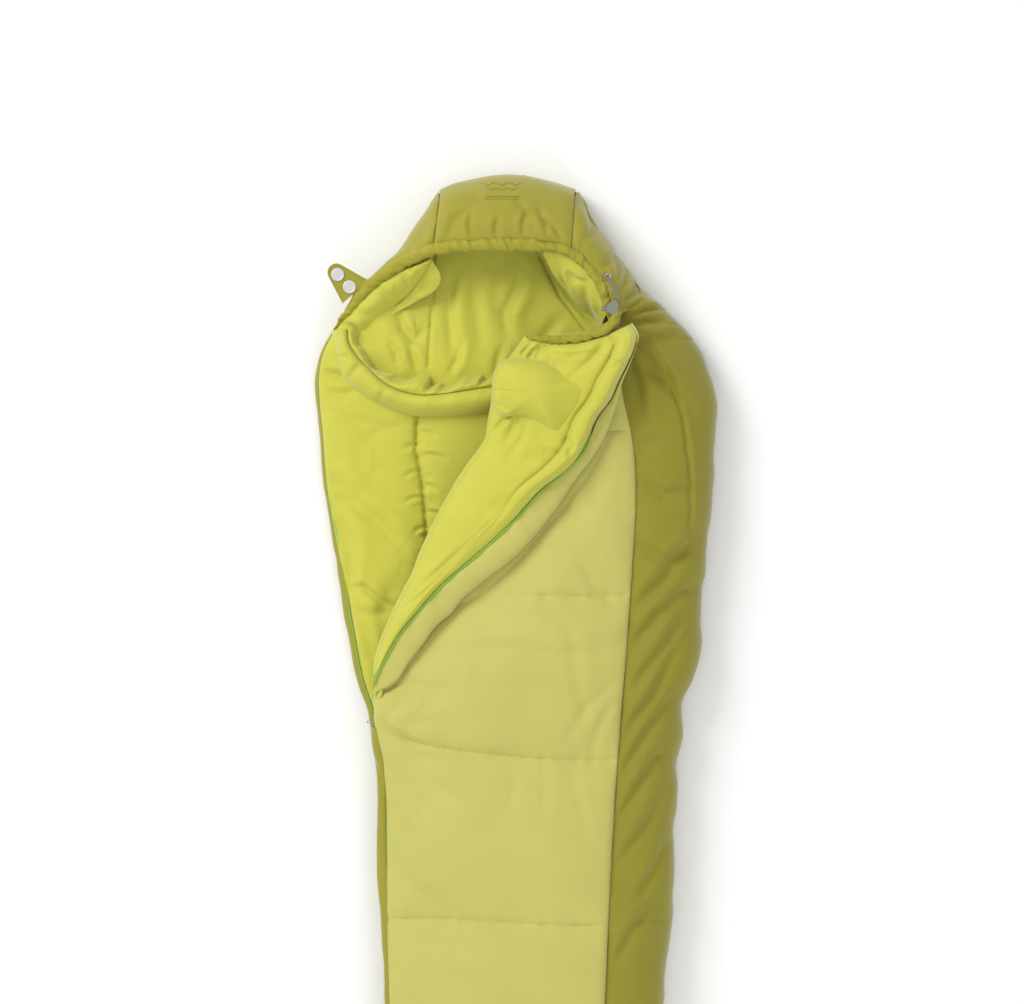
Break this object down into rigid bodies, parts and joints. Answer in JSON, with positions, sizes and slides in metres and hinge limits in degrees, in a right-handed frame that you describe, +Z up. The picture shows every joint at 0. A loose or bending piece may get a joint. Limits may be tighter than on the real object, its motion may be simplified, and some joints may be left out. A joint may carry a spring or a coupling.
{
  "type": "mummy sleeping bag",
  "caption": "Quilted mummy sleeping bag lying open, with a drawcord hood, neck collar, side zip and a top corner folded back.",
  "frame": {"origin": "on the floor, at the mount underside, below the middle of the bag's length", "axes": "+Y from the foot to the hood, +Z up from the floor, +X to the side away from the zip"},
  "size_m": [0.7917, 2.146, 0.2102],
  "materials": {
    "shell_olive": "satin ripstop polyester",
    "shell_pale": "satin ripstop polyester",
    "lining": "smooth taffeta",
    "batting": "fibre fill",
    "zip_tape": "woven tape",
    "zip_coil": "nylon coil",
    "cord": "braided cord",
    "lock_plastic": "moulded",
    "metal": "nickel plated"
  },
  "bodies": {
    "bag": {"base_shell": "shell_olive", "base_batting": "batting", "base_lining": "lining", "base_side_wall": "shell_olive", "top_panel_lining": "lining", "top_panel_batting": "batting", "top_panel_shell": "shell_pale", "side_panel_lining": "lining", "side_panel_batting": "batting", "side_panel_shell": "shell_olive", "footbox_lining": "lining", "footbox_batting": "batting", "footbox_shell": "shell_olive", "foot_wall_lining": "lining", "foot_wall_batting": "batting", "foot_wall_shell": "shell_olive", "hood_left_lining": "lining", "hood_left_batting": "batting", "hood_left_shell": "shell_olive", "hood_middle_lining": "lining", "hood_middle_batting": "batting", "hood_middle_shell": "shell_olive", "hood_right_lining": "lining", "hood_right_batting": "batting", "hood_right_shell": "shell_olive", "hood_rim_tunnel": "shell_olive", "hood_side_roll": "lining", "neck_collar": "lining", "base_zip_tape": "zip_tape", "base_zip_coil": "zip_coil", "base_zip_stop": "metal", "closed_zip_tape": "zip_tape", "closed_zip_coil": "zip_coil", "zip_foot_stop": "metal", "cord_eyelet": "metal", "drawcord_tail_strand": "cord", "drawcord_loop_strand": "cord"},
    "flap": {"flap_lining": "lining", "flap_batting": "batting", "flap_shell": "shell_pale", "flap_collar": "lining", "flap_draft_tube": "lining", "flap_hem": "shell_olive", "flap_zip_tape": "zip_tape", "flap_zip_coil": "zip_coil", "flap_zip_stop": "metal"},
    "neck_tab": {"neck_tab": "shell_olive", "tab_stud_upper": "metal", "tab_stud_lower": "metal"},
    "cord_lock": {"cord_lock": "lock_plastic"},
    "cord_lock_button": {"cord_lock_button": "lock_plastic"},
    "zip_slider": {"zip_slider": "metal"},
    "zip_pull": {"zip_pull": "metal"}
  },
  "joints": [
    {"name": "flap_fold", "type": "hinge", "parent": "bag", "child": "flap", "pos_m": [-0.28, 0.02, 0.098], "axis": [-0.401, -0.9137, -0.066], "range_deg": [0, 120]},
    {"name": "neck_tab_hinge", "type": "hinge", "parent": "bag", "child": "neck_tab", "pos_m": [-0.338, 0.812, 0.092], "axis": [0.7612, 0.6485, 0], "range_deg": [0, 110]},
    {"name": "cord_lock_slide", "type": "slide", "parent": "bag", "child": "cord_lock", "axis": [0, 1, 0], "range_m": [0, 0.014]},
    {"name": "cord_lock_press", "type": "slide", "parent": "cord_lock", "child": "cord_lock_button", "axis": [1, 0, 0], "range_m": [0, 0.003], "stiffness_N_per_m": 400},
    {"name": "zip_slide", "type": "slide", "parent": "bag", "child": "zip_slider", "axis": [0.0338, -0.9994, 0], "range_m": [0, 0.58]},
    {"name": "zip_pull_swing", "type": "hinge", "parent": "zip_slider", "child": "zip_pull", "pos_m": [-0.27392, -0.02428, 0.062], "axis": [0, 0, 1], "range_deg": [-70, 70]}
  ]
}
